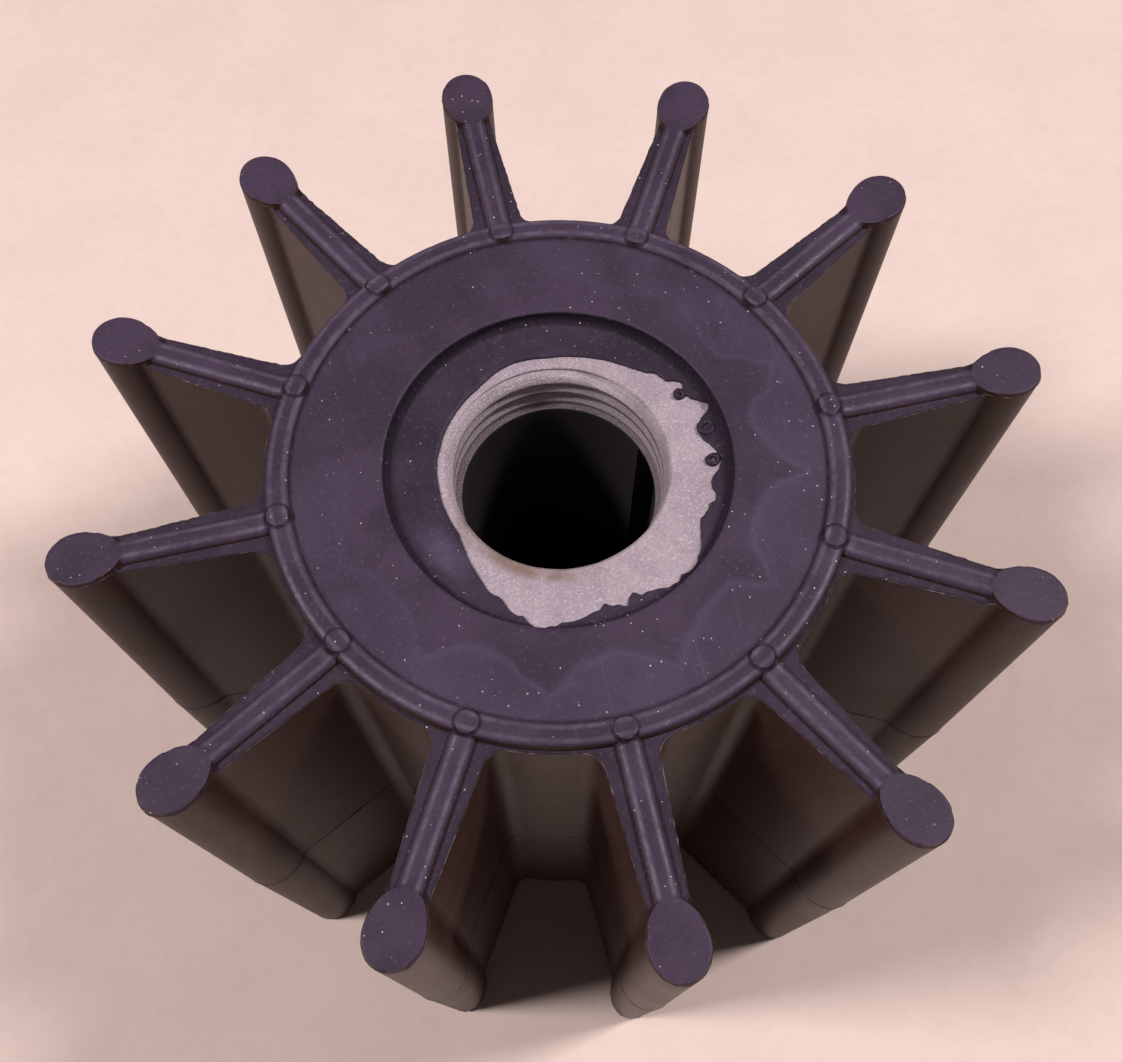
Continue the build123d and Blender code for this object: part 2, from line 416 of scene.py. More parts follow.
# %% Make the thin rubber of the flash
FLASH_PATCH = 1.25
lip_rubber, tree, shader, mm = new_material("thin_rubber_flash")
patchy = add(tree, NOISE, {"Vector": mm, "Scale": 1 / FLASH_PATCH, "Detail": 2.0})
# The pale patches are a painted highlight on the ragged lip.
painted_glint_patches = add(tree, RANGE, [patchy, 0.45, 0.7], **SOFT)
lip_colour = layered(tree, linear("#33292e"), [(painted_glint_patches, 1.0, "#6b5b5b")])
feed(tree, shader, {"Base Color": lip_colour, "Roughness": 0.6})
print("patches of the flash are", FLASH_PATCH, "mm wide")

# %% [markdown]
# ## Steel
# The sleeve is stainless steel, grit blasted so that the rubber bonds to it. That gives the eye a pale matt
# end with tiny bright and dark pits. The thread is painted a little darker, the near part of the countersink
# carries a brown painted shade, and the deep bore is darkened with painted shade. A blasted surface scatters
# so much light that it looks only partly metallic.

# %% Make the blasted steel
# Blasting grit leaves pits of about 0.1 mm. They are drawn twice as coarse, so that they show.
PIT_WIDTH, BLOTCH_WIDTH = 0.222, 2.86
COUNTERSINK_SHADE_AZIMUTH, COUNTERSINK_SHADE_INNER, COUNTERSINK_SHADE_OUTER = math.radians(-128), 10.7, 11.9
steel, tree, shader, mm = new_material("grit_blasted_stainless_steel")
x, y, z = add(tree, SPLIT, [mm]).outputs
pits = add(tree, NOISE, {"Vector": mm, "Scale": 1 / PIT_WIDTH, "Detail": 3.0, "Roughness": 0.7})
blotches = add(tree, NOISE, {"Vector": mm, "Scale": 1 / BLOTCH_WIDTH, "Detail": 3.0})
inside_bore = add(tree, RANGE, [z, INSERT_BOTTOM + 0.1, INSERT_BOTTOM + 0.7], **SOFT)
below_end = add(tree, RANGE, [z, INSERT_TOP - 0.5, INSERT_TOP - 1.2], **SOFT)
below_ledge = add(tree, RANGE, [z, LEDGE + 0.2, LEDGE - 0.5], **SOFT)
# The thread below the end face is painted a little darker.
in_thread = add(tree, MATH, [below_end, inside_bore], operation="MULTIPLY")
# Painted shade darkens the deep bore below the ledge.
painted_bore_shade = add(tree, MATH, [below_ledge, inside_bore], operation="MULTIPLY")
radius = add(tree, VECTOR, [add(tree, COMBINE, [x, y])], operation="LENGTH").outputs["Value"]
# The near part of the countersink carries a brown painted shade.
painted_countersink_shade = band(tree, add(tree, MATH, [y, x], operation="ARCTAN2"), COUNTERSINK_SHADE_AZIMUTH, 0.95, 0.3)
for measure in ([radius, COUNTERSINK_SHADE_OUTER, COUNTERSINK_SHADE_INNER], [blotches, 0.35, 0.6, 0.35, 0.75]):
    mask = add(tree, RANGE, measure, **SOFT)
    painted_countersink_shade = add(tree, MATH, [painted_countersink_shade, mask], operation="MULTIPLY")
colour = layered(tree, linear("#ada1aa"), [
    (add(tree, RANGE, [blotches, 0.35, 0.7], **SOFT), 1.0, "#a1959e"),
    (add(tree, RANGE, [pits, 0.5, 0.75], **SOFT), 0.35, "#7b7078"),
    (add(tree, RANGE, [pits, 0.48, 0.3], **SOFT), 0.7, "#d2c6cf"),
    (in_thread, 0.5, "#5f545d"), (painted_countersink_shade, 1.0, "#79624f"), (painted_bore_shade, 1.0, "#3d383b")])
on_end = add(tree, RANGE, [z, INSERT_TOP - 0.9, INSERT_TOP - 0.2], **SOFT)
dullness = add(tree, RANGE, [on_end, 0.0, 1.0, 0.62, 0.75], **SOFT)
pit_depth = add(tree, MATH, [pits, 0.14], operation="MULTIPLY")
feed(tree, shader, {"Base Color": colour, "Metallic": 0.7, "Roughness": dullness,
                    "Normal": add(tree, BUMP, {"Height": pit_depth, "Distance": MM, "Strength": 1.0})})
print("steel made, with", len(tree.nodes), "nodes")

# %% [markdown]
# ## Dust
# House dust settles on everything that lies on a shelf. Its grains are fibres and skin, which scatter all
# light, so they give the eye dull specks from beige to nearly white.

# %% Make the dust
SHADE_WIDTH = 2.5
dust_grey, tree, shader, mm = new_material("settled_dust")
shade = add(tree, NOISE, {"Vector": mm, "Scale": 1 / SHADE_WIDTH})
dust_colour = layered(tree, linear("#c4b8ae"), [(shade, 1.0, "#f0e7db")])
feed(tree, shader, {"Base Color": dust_colour, "Roughness": 0.9})
print("the dust changes its shade about every", SHADE_WIDTH, "mm")

# %% [markdown]
# ## The outline of half a vane
# Seen from the end, the moulding repeats every 30 degrees and each vane is the same on both sides, so one
# half of one sector is drawn: egg-shaped bead, tapering web, root fillet, and the hub's rim. The draft of
# the mould makes the outline grow towards the parting plane, so the outline takes a growth.

# %% Draw the half outline
def arc(centre_x, centre_y, radius, start, end, steps):
    """Points along an arc, from one azimuth to another."""
    turn = np.linspace(start, end, steps + 1)
    return np.c_[centre_x + radius * np.cos(turn), centre_y + radius * np.sin(turn)]


def bead_line(growth, turn):
    """Points of the egg-shaped bead. Turn is 0 at the outer end and pi at the heel."""
    return np.c_[BEAD_CENTRE + (BEAD_LENGTH / 2 + growth) * np.cos(turn),
                 (BEAD_WIDTH / 2 + growth) * np.sin(turn) * (1 + BEAD_EGG * np.cos(turn))]


def half_outline(growth):
    """From the bead's tip on the vane's centre line to the hub's rim, midway to the next vane."""
    start = np.array([WEB_START, WEB_ROOT / 2 + growth])
    along = np.array([WEB_END, WEB_TIP / 2 + growth]) - start
    along /= np.hypot(*along)
    off = np.array([-along[1], along[0]])

    # The bead ends where its heel crosses the web's side.
    turns = np.linspace(math.pi / 2, math.pi, 400)
    over_web = (bead_line(growth, turns) - start) @ off
    notch_turn = np.interp(0, -over_web, turns)
    bead = bead_line(growth, np.linspace(0, notch_turn, 20))
    notch = bead[-1]

    # The fillet's centre is one fillet radius beside the web and one outside the hub's rim.
    lifted = start + off * ROOT_FILLET
    out = HUB_RADIUS + growth + ROOT_FILLET
    slide = -(lifted @ along) + math.sqrt((lifted @ along) ** 2 - lifted @ lifted + out ** 2)
    fillet_centre = lifted + along * slide
    web_end = fillet_centre - off * ROOT_FILLET
    web = notch + (web_end - notch) * np.linspace(0, 1, 15)[:, None]
    first = math.atan2(-off[1], -off[0])
    centre_azimuth = math.atan2(fillet_centre[1], fillet_centre[0])
    fillet = arc(*fillet_centre, ROOT_FILLET, first, centre_azimuth - math.pi, 10)
    rim = arc(0, 0, HUB_RADIUS + growth, centre_azimuth, HALF_SECTOR, 9)
    return np.vstack([bead, web[1:], fillet[1:], rim[1:]])


outline = half_outline(0)
print("points on the half outline:", len(outline))

# %% [markdown]
# ## The relief of the end face
# The raised forms of the end face are written as heights over the face, each with soft feet, and the
# highest one wins. A smooth maximum rounds the corners where they meet, as a milled mould cavity does.

# %% Write the heights of the end face
RIM_EDGE, BURIED, NUB_BASE, NUB_DISH = 28.1, -3.0, -1.0, 0.05
HUB_SLOPE, BEAD_SLOPE, NUB_SLOPE = 0.16, 0.14, 0.26  # widths of the soft feet


def ease(t):
    """A soft step from 0 to 1."""
    t = np.clip(t, 0, 1)
    return t * t * (3 - 2 * t)


def higher(a, b, blend=0.07):
    """The higher of two heights, with the corner between them rounded over the blend."""
    return np.maximum(a, b) + np.maximum(blend - np.abs(a - b), 0) ** 2 / (4 * blend)


def bead_depth(x, y):
    """Distance inside the egg-shaped bead outline near its edge, negative outside."""
    along = (x - BEAD_CENTRE) / (BEAD_LENGTH / 2)
    wide = BEAD_WIDTH / 2 * (1 + BEAD_EGG * np.clip(along, -1, 1))
    across = np.abs(y) / wide
    reach = np.hypot(along, across) + 1e-9
    slope = np.hypot(along / (BEAD_LENGTH / 2) - across ** 2 * BEAD_EGG / BEAD_LENGTH, across / wide) / reach
    return (1 - reach) / (slope + 1e-9)


def rounded_bar(offset, width, rise, power):
    """A raised bar with a nearly flat crest and round shoulders."""
    return rise * np.sqrt(np.maximum(1 - np.abs(2 * offset / width) ** power, 0))


def relief(x, y):
    """Height over the end face at a point of the sector, with the vane along +X."""
    radius = np.hypot(x, y)
    floor = WEB_FLAT + (RIM_FLAT - WEB_FLAT) * ease((RIM_EDGE - radius) / 0.4)
    hub = floor * (1 - ease((RING_RADIUS + RING_WIDTH / 2 + 0.1 - radius) / HUB_SLOPE))
    on_ring = np.abs(radius - RING_RADIUS) < RING_WIDTH / 2
    ring = np.where(on_ring, rounded_bar(radius - RING_RADIUS, RING_WIDTH, RING_RISE, 3.0), BURIED)
    on_rib = (np.abs(y) < RIB_WIDTH / 2) & (x > RING_RADIUS) & (x < BEAD_CENTRE)
    rib = np.where(on_rib, floor + rounded_bar(y, RIB_WIDTH, RIB_HEIGHT, 2.5), BURIED)
    bead = floor * (1 - ease(bead_depth(x, y) / BEAD_SLOPE + 0.5))
    from_nub = np.hypot(x - NUB_CENTRE, y)
    nub = NUB_BASE + (NUB_RISE - NUB_BASE) * ease((NUB_RADIUS - from_nub) / NUB_SLOPE + 0.5)
    nub = nub - NUB_DISH * ease((NUB_RADIUS - 0.3 - from_nub) / 0.5)
    height = higher(floor, hub)
    height = higher(height, ring)
    height = higher(height, rib, 0.1)
    height = higher(height, bead, 0.04)
    return higher(height, nub, 0.1)


print("height on the ring", round(float(relief(np.array(RING_RADIUS * 0.97), np.array(6.6))), 2), "mm")

# %% [markdown]
# ## One half sector as a surface
# Points are laid along every form that has an edge, such as circles on the ring and lines on the rib, and a
# looser grid fills the rest. A Delaunay triangulation joins them and keeps the lines along each form as
# edges, so the triangles are small only where the surface turns. The side walls are rows of the outline,
# grown by the draft down to the parting plane; the first row is close under the edge, which keeps the
# edge's shading tight.

# %% Lay out the points of the end face
def inside(points, polygon):
    """Even-odd test of points against a closed polygon."""
    x, y = points[:, :1], points[:, 1:]
    x0, y0 = polygon.T
    x1, y1 = np.roll(polygon, -1, axis=0).T
    with np.errstate(divide="ignore", invalid="ignore"):
        crosses = ((y0 > y) != (y1 > y)) & (x < (x1 - x0) * (y - y0) / (y1 - y0) + x0)
    return crosses.sum(axis=1) % 2 == 1


def distance_to(points, line):
    """Shortest distance from each point to a polyline."""
    best = np.full(len(points), 1e9)
    for a, b in zip(line[:-1], line[1:]):
        span = b - a
        share = np.clip(((points - a) @ span) / (span @ span), 0, 1)
        best = np.minimum(best, np.hypot(*(points - a - share[:, None] * span).T))
    return best


def polar(radius, angles):
    """Points on a circle round the bore."""
    return np.c_[radius * np.cos(angles), radius * np.sin(angles)]


# The border runs out along the vane's centre line, back along the outline and in along the next seam.
axis_radii = np.concatenate([
    np.linspace(RECESS_RADIUS, 24.4, 13), np.linspace(24.7, 27.7, 16), np.linspace(28.1, 39.7, 30),
    np.linspace(39.95, 40.7, 5), np.linspace(41.1, 47.3, 12), [47.45, 47.56]])
seam_radii = np.concatenate([
    [27.61, 27.5], np.linspace(27.36, 24.8, 12), np.linspace(24.4, 16.9, 12), [16.55, 16.44]])
recess_arc = polar(RECESS_RADIUS, np.linspace(HALF_SECTOR, 0, 21))
centre_line = np.c_[axis_radii[1:], np.zeros(len(axis_radii) - 1)]
border = np.vstack([centre_line, outline, polar(seam_radii, HALF_SECTOR), recess_arc])

# A family is a row of points along one form. First come the forms with edges: bead, nub, ring, rib and rim.
families = []
for depth in (-0.09, 0.09):
    families.append(bead_line(-depth, np.linspace(math.radians(115), math.pi, 20)))
for radius in (NUB_RADIUS - 0.14, NUB_RADIUS + 0.13, NUB_RADIUS, 0.8, 0.4):
    families.append(arc(NUB_CENTRE, 0, radius, 0.001, math.pi, max(6, int(radius * 14))))
for radius in (24.92, 25.0, 25.06, 25.15, 25.3, 25.55, 25.9, 26.4,
               26.75, 27.0, 27.15, 27.23, 27.31, 27.39, 27.5):
    families.append(polar(radius, np.linspace(0.002, HALF_SECTOR, 24)))
for offset in (1.36, 1.25, 1.19, 1.1, 0.95, 0.72, 0.45, 0.2):
    families.append(np.c_[np.linspace(27.45, 42.0, 38), np.full(38, offset)])
families += [half_outline(-0.05), half_outline(-EDGE_RADIUS), half_outline(-0.32)]
for radius, steps in ((16.44, 20), (16.55, 20), (16.9, 14), (17.6, 12), (18.5, 11), (19.5, 11),
                      (20.5, 12), (21.5, 12), (22.5, 13), (23.5, 14), (24.3, 16)):
    families.append(polar(radius, np.linspace(0.01, HALF_SECTOR, steps)))
fine_families = len(families)

# Then a loose grid fills the vane between them.
for row in np.arange(0.5, 8, 0.6):
    families.append(np.c_[np.arange(27.8, 48, 0.65), np.full(32, row)])
print("rows of points:", len(families))

# %% Choose the points and the lines that stay edges
FINE_GAP, LOOSE_GAP, BORDER_GAP, LONGEST_CREASE = 0.055, 0.25, 0.03, 1.0
closed_border = np.vstack([border, border[:1]])
chosen, creases = border.copy(), []
for number, family in enumerate(families):
    family = family[inside(family, border) & (distance_to(family, closed_border) > BORDER_GAP)]
    fine = number < fine_families
    before = None
    for point in family:
        if np.hypot(*(chosen - point).T).min() < (FINE_GAP if fine else LOOSE_GAP):
            before = None
            continue
        chosen = np.vstack([chosen, point])
        if before is not None and fine and np.hypot(*(chosen[before] - point)) < LONGEST_CREASE:
            creases.append((before, len(chosen) - 1))
        before = len(chosen) - 1
print("points in the half sector:", len(chosen))

# %% Raise them and add the side walls
vertices, _, triangles, *_ = geometry.delaunay_2d_cdt(
    [Vector(p) for p in chosen], creases, [list(range(len(border)))], 1, 1e-5)
flat = np.array([tuple(v) for v in vertices])


def edge_drop(distance):
    """How far a rounded edge has fallen at a distance from it."""
    inner = np.clip(EDGE_RADIUS - distance, 0, EDGE_RADIUS)
    return EDGE_RADIUS - np.sqrt(EDGE_RADIUS ** 2 - inner ** 2)


def strips(rows, columns, closed):
    """Four-sided faces between rows of points, each row open or closed to a ring."""
    faces = []
    for r in range(rows - 1):
        for i in range(columns if closed else columns - 1):
            here, after = r * columns + i, r * columns + (i + 1) % columns
            faces.append((here, here + columns, after + columns, after))
    return faces


height = relief(flat[:, 0], flat[:, 1]) - edge_drop(distance_to(flat, outline))
height -= edge_drop(np.abs(np.hypot(*flat.T) - RECESS_RADIUS))
face_points = np.c_[flat, UPPER_FACE + height]
face_triangles = [list(t) for t in triangles]

rim_height = relief(outline[:, 0], outline[:, 1]) - EDGE_RADIUS
rows = [np.c_[outline, UPPER_FACE + rim_height], np.c_[outline, UPPER_FACE + rim_height - 0.15]]
for below in (2.0, 12.0, 24.0, 34.0, 39.15, 39.5):
    rows.append(np.c_[half_outline(below * DRAFT), np.full(len(outline), UPPER_FACE - below)])
rows.append(np.c_[half_outline(HALF_HEIGHT * DRAFT + PARTING_BEAD), np.full(len(outline), PARTING)])
wall_points = np.vstack(rows)
wall_quads = strips(len(rows), len(outline), closed=False)
half_points = np.vstack([face_points, wall_points])
half_faces = face_triangles + [tuple(i + len(face_points) for i in quad) for quad in wall_quads]
mirrored = half_points * (1, -1, 1)
sector = mesh_from("sector", np.vstack([half_points, mirrored]),
                   half_faces + [tuple(i + len(half_points) for i in reversed(face)) for face in half_faces])
print("triangles in one sector:", triangles_in(sector))

# %% [markdown]
# ## Twelve vanes from one
# A Geometry Nodes tree turns the sector round the bore and mirrors it at the parting plane, as the two
# halves of the mould do. Changing the count would give another impeller of the family. Each tree's sizes
# are named inputs, and its result is turned into a plain mesh.

# %% Helpers for Geometry Nodes trees
FLOAT, WHOLE, MATERIAL = "NodeSocketFloat", "NodeSocketInt", "NodeSocketMaterial"


def node_tree(name, sizes):
    """An empty geometry tree with named inputs. sizes maps an input's name to its socket type."""
    tree = bpy.data.node_groups.new(name, "GeometryNodeTree")
    tree.interface.new_socket("Geometry", in_out="INPUT", socket_type="NodeSocketGeometry")
    for label, kind in sizes.items():
        tree.interface.new_socket(label, in_out="INPUT", socket_type=kind)
    tree.interface.new_socket("Geometry", in_out="OUTPUT", socket_type="NodeSocketGeometry")
    return tree, add(tree, "NodeGroupInput").outputs, add(tree, "NodeGroupOutput")


def grown(name, tree, base_mesh, values):
    """Runs a geometry tree on a mesh and gives the result as a plain mesh."""
    carrier = bpy.data.objects.new(name, base_mesh)
    bpy.context.scene.collection.objects.link(carrier)
    modifier = carrier.modifiers.new(name, "NODES")
    modifier.node_group = tree
    sockets = {item.name: item.identifier for item in tree.interface.items_tree if item.in_out == "INPUT"}
    for label, value in values.items():
        modifier[sockets[label]] = value
    graph = bpy.context.evaluated_depsgraph_get()
    result = bpy.data.meshes.new_from_object(carrier.evaluated_get(graph))
    carrier.modifiers.remove(modifier)
    bpy.data.objects.remove(carrier)
    result.name = name
    return result


print("helpers for trees ready")

# %% Build the tree that repeats the sector
repeat, size, result = node_tree("repeat_sector", {
    "Vanes": WHOLE, "Parting height": FLOAT, "Material": MATERIAL})
step = add(repeat, MATH, [2 * math.pi, size["Vanes"]], operation="DIVIDE")
turned = add(repeat, MATH, [add(repeat, "GeometryNodeInputIndex"), step], operation="MULTIPLY")
places = add(repeat, "GeometryNodePoints", {"Count": size["Vanes"]})
copies = add(repeat, "GeometryNodeInstanceOnPoints", {
    "Points": places, "Instance": size["Geometry"], "Rotation": add(repeat, COMBINE, {"Z": turned})})
upper = add(repeat, "GeometryNodeRealizeInstances", [copies])
lift = add(repeat, MATH, [size["Parting height"], 2.0], operation="MULTIPLY")
lower = add(repeat, "GeometryNodeTransform", {
    "Geometry": upper, "Translation": add(repeat, COMBINE, {"Z": lift}), "Scale": (1, 1, -1)})
both = add(repeat, "GeometryNodeJoinGeometry", [upper])
feed(repeat, both, [add(repeat, "GeometryNodeFlipFaces", {"Mesh": lower})])
merged = add(repeat, "GeometryNodeMergeByDistance", {"Geometry": both, "Distance": MERGE_WITHIN})
solid = add(repeat, "GeometryNodeRealizeInstances", [merged])
finished = add(repeat, "GeometryNodeSetMaterial", {"Geometry": solid, "Material": size["Material"]})
feed(repeat, result, [finished])
star = grown("star", repeat, sector, {"Vanes": VANES, "Parting height": PARTING * MM, "Material": rubber})
print("triangles in the star:", triangles_in(star))

# %% [markdown]
# ## The recess and its torn film
# The mould's core pressed on the metal sleeve, but some rubber crept under it and set as a thin film, which
# tore off raggedly on one side. The film's edge is a smooth run of a few radii with seeded roughness on
# top. Where the film is whole, it curves up into the recess wall with a soft corner.

# %% Make the recess, the film and the sleeve's seat
AROUND, RUBBER_CREASE = 480, 62
azimuths = np.arange(AROUND) * 2 * math.pi / AROUND
FILM_EDGE = [
    (-180, 11.45), (-158, 11.35), (-145, 12.3), (-128, 14.0), (-110, 15.8), (-93, 15.4), (-86, 14.5),
    (-78, 15.3), (-74, 14.2), (-68, 14.9), (-59, 15.7), (-47, 15.8), (-37, 14.5), (-31, 14.4), (-25, 15.2),
    (-18, 14.6), (-12, 15.2), (-5, 15.2), (0, 14.1), (6, 13.8), (10, 15.0), (13, 16.0), (18, 15.0),
    (28, 14.8), (38, 13.5), (50, 12.9), (64, 12.6), (80, 12.25), (98, 12.45), (120, 11.75), (150, 11.6)]
edge_degrees, edge_radius = np.array(FILM_EDGE).T
dice = np.random.default_rng(7)


def ripple(cells):
    """Smooth noise round the circle, from -1 to 1, with that many cells."""
    values = dice.uniform(-1, 1, cells)
    place = np.arange(AROUND) * cells / AROUND
    low, share = place.astype(int), ease(place - place.astype(int))
    return values[low % cells] * (1 - share) + values[(low + 1) % cells] * share


wrapped = (azimuths + math.pi) % (2 * math.pi) - math.pi
film_edge = np.interp(wrapped, np.radians(edge_degrees), edge_radius, period=2 * math.pi)
torn = ease((film_edge - 12.9) / 1.2)
film_edge = film_edge + torn * (0.3 * ripple(70) + 0.2 * ripple(160)) + 0.06 * ripple(60)
film_edge = np.clip(film_edge, 11.4, 16.05)
film_swell = 0.04 * ripple(9) + 0.02 * ripple(40)
FILM_TOP = INSERT_TOP + 0.25
WALL_RADIUS = RECESS_RADIUS - 0.02
upper_rim = UPPER_FACE - EDGE_RADIUS


def ring_row(radius, height):
    """A ring of points, whose radius and height may change round it."""
    radius, height = radius + 0 * azimuths, height + 0 * azimuths
    return np.c_[radius * np.cos(azimuths), radius * np.sin(azimuths), height]


corner_reach = np.clip(RECESS_RADIUS - 0.1 - film_edge, 0.25, 1.05)
corner_end = WALL_RADIUS - corner_reach
rows = [ring_row(RECESS_RADIUS, upper_rim), ring_row(RECESS_RADIUS - 0.01, upper_rim - 0.08)]
for turn in np.radians((0, 18, 36, 54, 72, 90)):
    rows.append(ring_row(WALL_RADIUS - corner_reach * (1 - math.cos(turn)),
                         FILM_TOP + 0.85 * corner_reach * (1 - math.sin(turn))))
for share in (0.3, 0.6, 0.9):
    rows.append(ring_row(corner_end + (film_edge - corner_end) * share, FILM_TOP + film_swell * share))
rows += [ring_row(film_edge, FILM_TOP - 0.05 + film_swell), ring_row(film_edge - 0.06, FILM_TOP - 0.14),
         ring_row(film_edge - 0.05, INSERT_TOP), ring_row(INSERT_RADIUS, INSERT_TOP),
         ring_row(INSERT_RADIUS, INSERT_BOTTOM), ring_row(RECESS_RADIUS, INSERT_BOTTOM),
         ring_row(RECESS_RADIUS, LOWER_FACE + EDGE_RADIUS)]
recess_faces = strips(len(rows), AROUND, closed=True)
recess = mesh_from("recess", np.vstack(rows), [tuple(reversed(face)) for face in recess_faces])
moulding_mesh = joined("rubber_moulding", [star, recess])
moulding_mesh.set_sharp_from_angle(angle=math.radians(RUBBER_CREASE))
print("triangles in the moulding:", triangles_in(moulding_mesh))

# %% [markdown]
# ## The metal sleeve and its thread
# A puller screws into the sleeve's upper end to draw the impeller off its shaft. The thread is 7/8-14, cut
# from a countersink, which sits a little off centre, down to a ledge. A helix follows a rule, so a Geometry
# Nodes tree makes it: the rows of a grid climb one pitch in each turn, and each row keeps its place on the
# thread's profile.

# %% Sizes of the sleeve in millimetres
BORE_RADIUS, BORE_CHAMFER = 9.525, 0.6
COUNTERSINK_RADIUS, COUNTERSINK_OFFSET, COUNTERSINK_AZIMUTH = 10.72, 0.42, math.radians(78)
CREST_RADIUS, PITCH, THREAD_DEPTH = 10.05, 25.4 / 14, 1.0
CREST_SHARE, FLANK_SHARE = 0.25, 0.625  # of half a pitch
SLEEVE_CREASE = 28  # degrees, above which an edge stays sharp
KEY_WIDTH, KEY_DEPTH, KEY_AZIMUTH, KEY_LAND = 4.76, 2.0, math.radians(6), 0.5
SLICES, ROWS_PER_TURN = 192, 16
thread_rows = math.ceil(((INSERT_TOP - LEDGE) / PITCH + 1) * ROWS_PER_TURN)
print("turns of thread:", round((INSERT_TOP - LEDGE) / PITCH, 2))

# %% Build the tree of the thread
helix, size, result = node_tree("internal_thread", {
    "Slices": WHOLE, "Rows": WHOLE, "Rows per turn": FLOAT, "Pitch": FLOAT, "Crest radius": FLOAT,
    "Depth": FLOAT, "Lower end": FLOAT, "Upper end": FLOAT, "Countersink radius": FLOAT,
    "Countersink offset": FLOAT, "Offset azimuth": FLOAT, "Material": MATERIAL})
columns = add(helix, MATH, [size["Slices"], 1.0], operation="ADD")
lines = add(helix, MATH, [size["Rows"], 1.0], operation="ADD")
grid = add(helix, "GeometryNodeMeshGrid", {
    "Size X": 1.0, "Size Y": 1.0, "Vertices X": columns, "Vertices Y": lines})
spot = add(helix, SPLIT, [add(helix, "GeometryNodeInputPosition")]).outputs
share_round = add(helix, MATH, [spot["X"], 0.5], operation="ADD")
share_up = add(helix, MATH, [spot["Y"], 0.5], operation="ADD")
row = add(helix, MATH, [share_up, size["Rows"]], operation="MULTIPLY")
turns = add(helix, MATH, [row, size["Rows per turn"]], operation="DIVIDE")
from_first = add(helix, MATH, [turns, 1.0], operation="SUBTRACT")
turns_up = add(helix, MATH, [from_first, share_round], operation="ADD")
raw_height = add(helix, MATH, [turns_up, size["Pitch"], size["Lower end"]], operation="MULTIPLY_ADD")
height = add(helix, "ShaderNodeClamp", {
    "Value": raw_height, "Min": size["Lower end"], "Max": size["Upper end"]})
risen = add(helix, MATH, [height, size["Lower end"]], operation="SUBTRACT")
climbed = add(helix, MATH, [risen, size["Pitch"]], operation="DIVIDE")
behind = add(helix, MATH, [climbed, share_round], operation="SUBTRACT")
phase = add(helix, MATH, [add(helix, MATH, [behind, 1.0], operation="ADD")], operation="FRACT")
swing = add(helix, MATH, [phase, 2.0, -1.0], operation="MULTIPLY_ADD")
swing_size = add(helix, MATH, [swing], operation="ABSOLUTE")
wave = add(helix, MATH, [1.0, swing_size], operation="SUBTRACT")
past_crest = add(helix, MATH, [wave, CREST_SHARE], operation="SUBTRACT")
cut = add(helix, MATH, [past_crest, FLANK_SHARE], operation="DIVIDE", use_clamp=True)
thread_radius = add(helix, MATH, [cut, size["Depth"], size["Crest radius"]], operation="MULTIPLY_ADD")
angle = add(helix, MATH, [share_round, 2 * math.pi], operation="MULTIPLY")
cosine = add(helix, MATH, [angle], operation="COSINE")
sine = add(helix, MATH, [angle], operation="SINE")
from_offset = add(helix, MATH, [angle, size["Offset azimuth"]], operation="SUBTRACT")
towards_offset = add(helix, MATH, [from_offset], operation="COSINE")
off_centre = add(helix, MATH, [size["Countersink offset"], towards_offset], operation="MULTIPLY")
below_end = add(helix, MATH, [size["Upper end"], height], operation="SUBTRACT")
narrowed = add(helix, MATH, [size["Countersink radius"], below_end], operation="SUBTRACT")
cone = add(helix, MATH, [off_centre, narrowed], operation="ADD")
radius = add(helix, MATH, [thread_radius, cone], operation="MAXIMUM")
across = add(helix, MATH, [radius, cosine], operation="MULTIPLY")
along = add(helix, MATH, [radius, sine], operation="MULTIPLY")
wound = add(helix, "GeometryNodeSetPosition", {
    "Geometry": grid, "Position": add(helix, COMBINE, [across, along, height])})
solid = add(helix, "GeometryNodeRealizeInstances", [wound])
finished = add(helix, "GeometryNodeSetMaterial", {"Geometry": solid, "Material": size["Material"]})
feed(helix, result, [finished])
print("nodes in the thread's tree:", len(helix.nodes))

# %% Cut the thread
thread = grown("thread", helix, bpy.data.meshes.new("blank"), {
    "Slices": SLICES, "Rows": thread_rows, "Rows per turn": float(ROWS_PER_TURN), "Pitch": PITCH * MM,
    "Crest radius": CREST_RADIUS * MM, "Depth": THREAD_DEPTH * MM, "Lower end": LEDGE * MM,
    "Upper end": INSERT_TOP * MM, "Countersink radius": COUNTERSINK_RADIUS * MM,
    "Countersink offset": COUNTERSINK_OFFSET * MM, "Offset azimuth": COUNTERSINK_AZIMUTH, "Material": steel})
print("faces of the thread:", len(thread.polygons))

# %% [markdown]
# The rest of the sleeve is turned work with one keyway, so it is a stack of rings. Where a ring crosses the
# keyway, its points are moved out to the slot's square outline, and the ring keeps the same number of
# points.

# %% Stack the rings of the sleeve
slice_angles = np.arange(SLICES) * 2 * math.pi / SLICES


def sleeve_row(radius, height):
    """A ring of the sleeve, whose radius may change round it."""
    radius = radius + 0 * slice_angles
    return np.c_[radius * np.cos(slice_angles), radius * np.sin(slice_angles), height + 0 * slice_angles]


